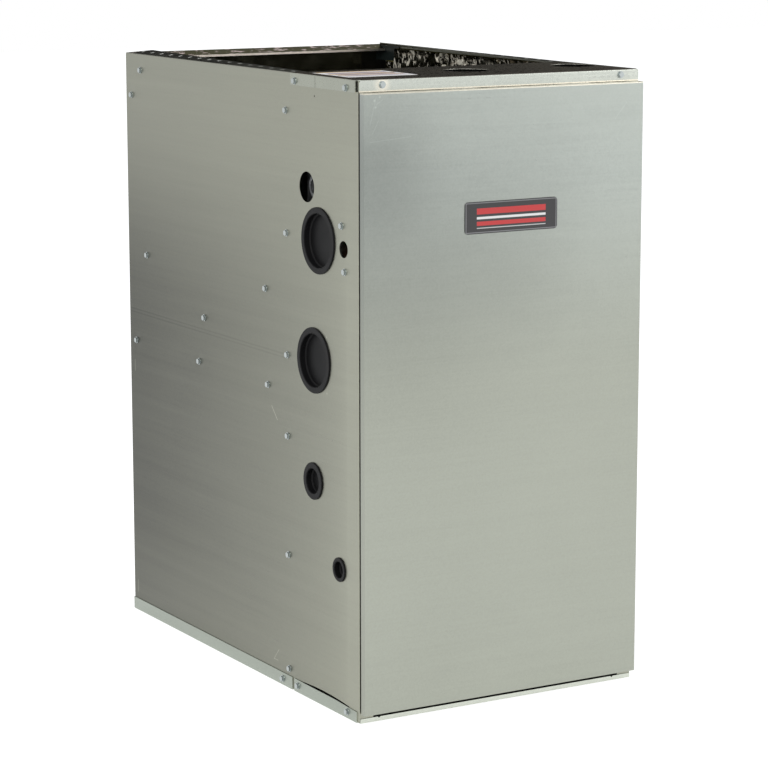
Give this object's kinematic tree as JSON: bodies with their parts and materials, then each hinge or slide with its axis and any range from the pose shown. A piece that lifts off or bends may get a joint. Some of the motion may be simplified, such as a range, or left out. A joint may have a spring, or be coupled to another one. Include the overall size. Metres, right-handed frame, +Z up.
{
  "type": "forced air gas furnace",
  "caption": "Tall narrow galvanised furnace cabinet with a lift-off front door, round plugs and pipe openings in its sides and top, and its burners, heat exchanger and blower inside.",
  "frame": {"origin": "on the floor, under the middle of the whole furnace", "axes": "+X is right seen from the front, -Y is the front with the door, +Z is up"},
  "size_m": [0.4532, 0.7226, 0.869],
  "materials": {
    "cabinet_steel": "galvanised, fine horizontal grain",
    "cap_steel": "galvanised, spangled",
    "base_steel": "galvanised, spangled",
    "door_steel": "galvanised, fine grain, satin",
    "inner_steel": "galvanised, dull",
    "housing_steel": "galvanised",
    "bracket_steel": "dark, semi-gloss",
    "badge_plate": "gloss black with a plain border",
    "foil_lining": "glass fibre with a crinkled foil facing",
    "clip_steel": "zinc plated",
    "label_paper": "white with plain coloured lines",
    "plug_plastic": "black, slightly glossy",
    "zinc_screws": "blue zinc plated",
    "window_glass": "clear",
    "burner_steel": "aluminised, heat dulled",
    "black_pipe": "black oxide",
    "valve_casting": "die cast, matte",
    "red_plastic": "moulded",
    "electrode_ceramic": "unglazed",
    "exchanger_steel": "aluminised, slightly heat tinted",
    "coil_fins": "bright fins",
    "black_plastic": "moulded, matte",
    "wheel_steel": "galvanised",
    "motor_paint": "black enamel",
    "switch_plastic": "light grey, moulded",
    "hose_rubber": "matte black",
    "white_pipe": "white, extruded",
    "board_green": "green laminate",
    "transformer_core": "varnished laminations",
    "green_insulation": "satin",
    "orange_plastic": "moulded",
    "wire_insulation": "satin",
    "shaft_steel": "ground",
    "capacitor_can": "drawn can"
  },
  "bodies": {
    "cabinet": {"left_side_panel": "cabinet_steel", "right_side_panel": "cabinet_steel", "back_panel": "cabinet_steel", "top_cap": "cap_steel", "corner_brackets": "bracket_steel", "front_base_pan": "base_steel", "rear_base_rails": "base_steel", "return_flange": "base_steel", "door_clips": "clip_steel", "vestibule_panel": "inner_steel", "divider_frame": "inner_steel", "blower_access_panel": "inner_steel", "blower_deck": "inner_steel", "cabinet_insulation": "foil_lining", "rating_label": "label_paper", "hole_plugs": "plug_plastic", "cabinet_screws": "zinc_screws", "burner_box": "inner_steel", "sight_glass": "window_glass", "burners": "burner_steel", "gas_manifold": "black_pipe", "gas_valve": "valve_casting", "igniter": "electrode_ceramic", "flame_sensor": "electrode_ceramic", "primary_tubes": "exchanger_steel", "rear_header": "exchanger_steel", "secondary_coil": "coil_fins", "collector_box": "black_plastic", "inducer_housing": "black_plastic", "inducer_motor": "motor_paint", "pressure_switch": "switch_plastic", "pressure_hose": "hose_rubber", "vent_pipe": "white_pipe", "intake_pipe": "white_pipe", "condensate_trap": "black_plastic", "drain_hose": "hose_rubber", "limit_switch": "clip_steel", "rollout_switch": "black_plastic", "control_tray": "inner_steel", "control_board": "board_green", "board_components": "black_plastic", "transformer": "transformer_core", "junction_box": "inner_steel", "ground_wire": "green_insulation", "wire_nuts": "orange_plastic", "wiring_harness": "wire_insulation", "door_switch": "black_plastic", "blower_housing": "housing_steel", "blower_motor": "motor_paint", "motor_bracket": "clip_steel", "run_capacitor": "capacitor_can"},
    "front_door": {"front_door": "door_steel", "door_badge": "badge_plate", "door_lining_pad": "foil_lining"},
    "blower_wheel": {"blower_wheel": "wheel_steel", "blower_shaft": "shaft_steel"},
    "inducer_wheel": {"inducer_wheel": "wheel_steel"},
    "gas_knob": {"gas_valve_knob": "red_plastic"},
    "door_plunger": {"door_switch_plunger": "red_plastic"},
    "rollout_button": {"rollout_reset_button": "red_plastic"}
  },
  "joints": [
    {"name": "door_pull", "type": "slide", "parent": "cabinet", "child": "front_door", "axis": [0, -1, 0], "range_m": [0, 0.3]},
    {"name": "blower_spin", "type": "hinge", "parent": "cabinet", "child": "blower_wheel", "pos_m": [0, 0.12815, 0.225], "axis": [1, 0, 0], "continuous": true},
    {"name": "inducer_spin", "type": "hinge", "parent": "cabinet", "child": "inducer_wheel", "pos_m": [-0.045, -0.26285, 0.515], "axis": [0, 1, 0], "continuous": true},
    {"name": "gas_knob_turn", "type": "hinge", "parent": "cabinet", "child": "gas_knob", "pos_m": [-0.186, -0.24685, 0.713], "axis": [0, 1, 0], "range_deg": [0, 90]},
    {"name": "door_plunger_press", "type": "slide", "parent": "cabinet", "child": "door_plunger", "axis": [0, -1, 0], "range_m": [0, 0.005]},
    {"name": "rollout_button_pop", "type": "slide", "parent": "cabinet", "child": "rollout_button", "axis": [0, -1, 0], "range_m": [0, 0.0015]}
  ],
  "couplings": [
    {"joint": "door_plunger_press", "follows": "door_pull", "ratio": 0.016667}
  ]
}
